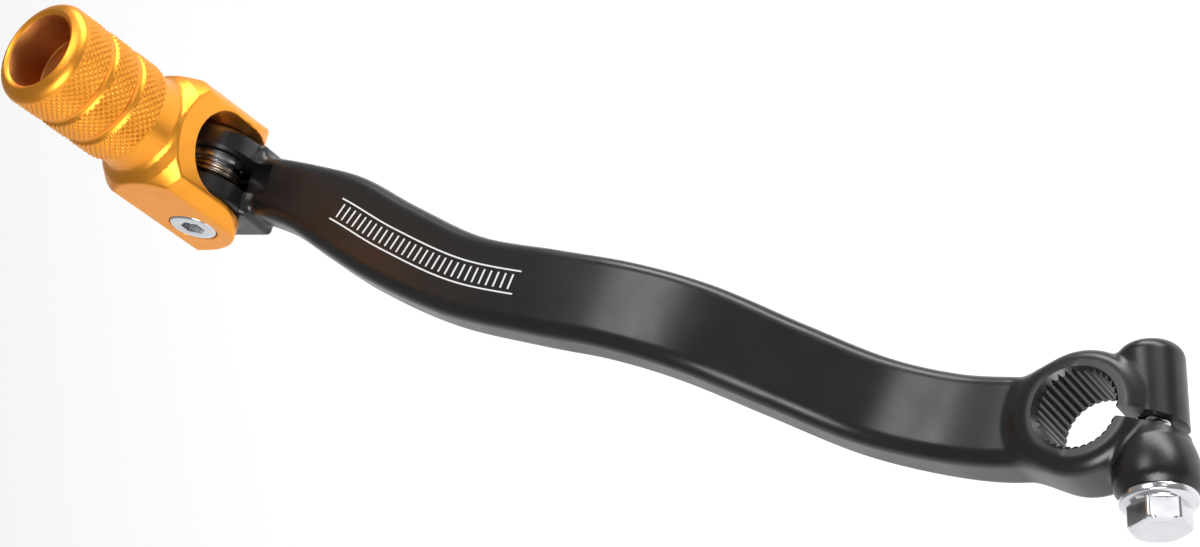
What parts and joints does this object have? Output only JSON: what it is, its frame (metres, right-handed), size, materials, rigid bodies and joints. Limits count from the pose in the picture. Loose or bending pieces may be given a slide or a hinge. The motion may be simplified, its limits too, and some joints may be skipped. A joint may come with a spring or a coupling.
{
  "type": "gear shift lever",
  "caption": "Forged motorcycle gear shift lever with a splined pinch clamp and a spring-loaded folding toe tip.",
  "frame": {"origin": "centre of the splined bore, halfway through the hub", "axes": "+Z along the splined bore away from the engine, +X towards the folding tip, +Y towards the pinch bolt's head"},
  "size_m": [0.2249, 0.0344, 0.0918],
  "materials": {
    "black_satin": "satin black coating on forged aluminium",
    "gold_anodised": "bead-blasted, gold anodised",
    "bright_zinc": "bright zinc plating",
    "plain_steel": "turned steel",
    "spring_steel": "drawn spring wire, oil-tempered",
    "bronze": "sintered bronze"
  },
  "bodies": {
    "lever": {"lever_arm": "black_satin", "pinch_bolt": "bright_zinc", "fork_bush_lower": "bronze", "fork_bush_upper": "bronze", "thrust_washer_lower": "plain_steel", "thrust_washer_upper": "plain_steel", "torsion_spring": "spring_steel", "spring_spacer": "plain_steel"},
    "tip": {"toe_tip": "gold_anodised", "pivot_screw": "bright_zinc", "pivot_nut": "bright_zinc", "pivot_sleeve": "plain_steel"}
  },
  "joints": [
    {"name": "tip_fold", "type": "hinge", "parent": "lever", "child": "tip", "pos_m": [0.1865, 0, 0.033], "axis": [0.1736, -0.9848, 0], "range_deg": [0, 55], "stiffness_Nm_per_rad": 0.4, "springref_deg": -51.57, "deforming": ["torsion_spring"]}
  ]
}
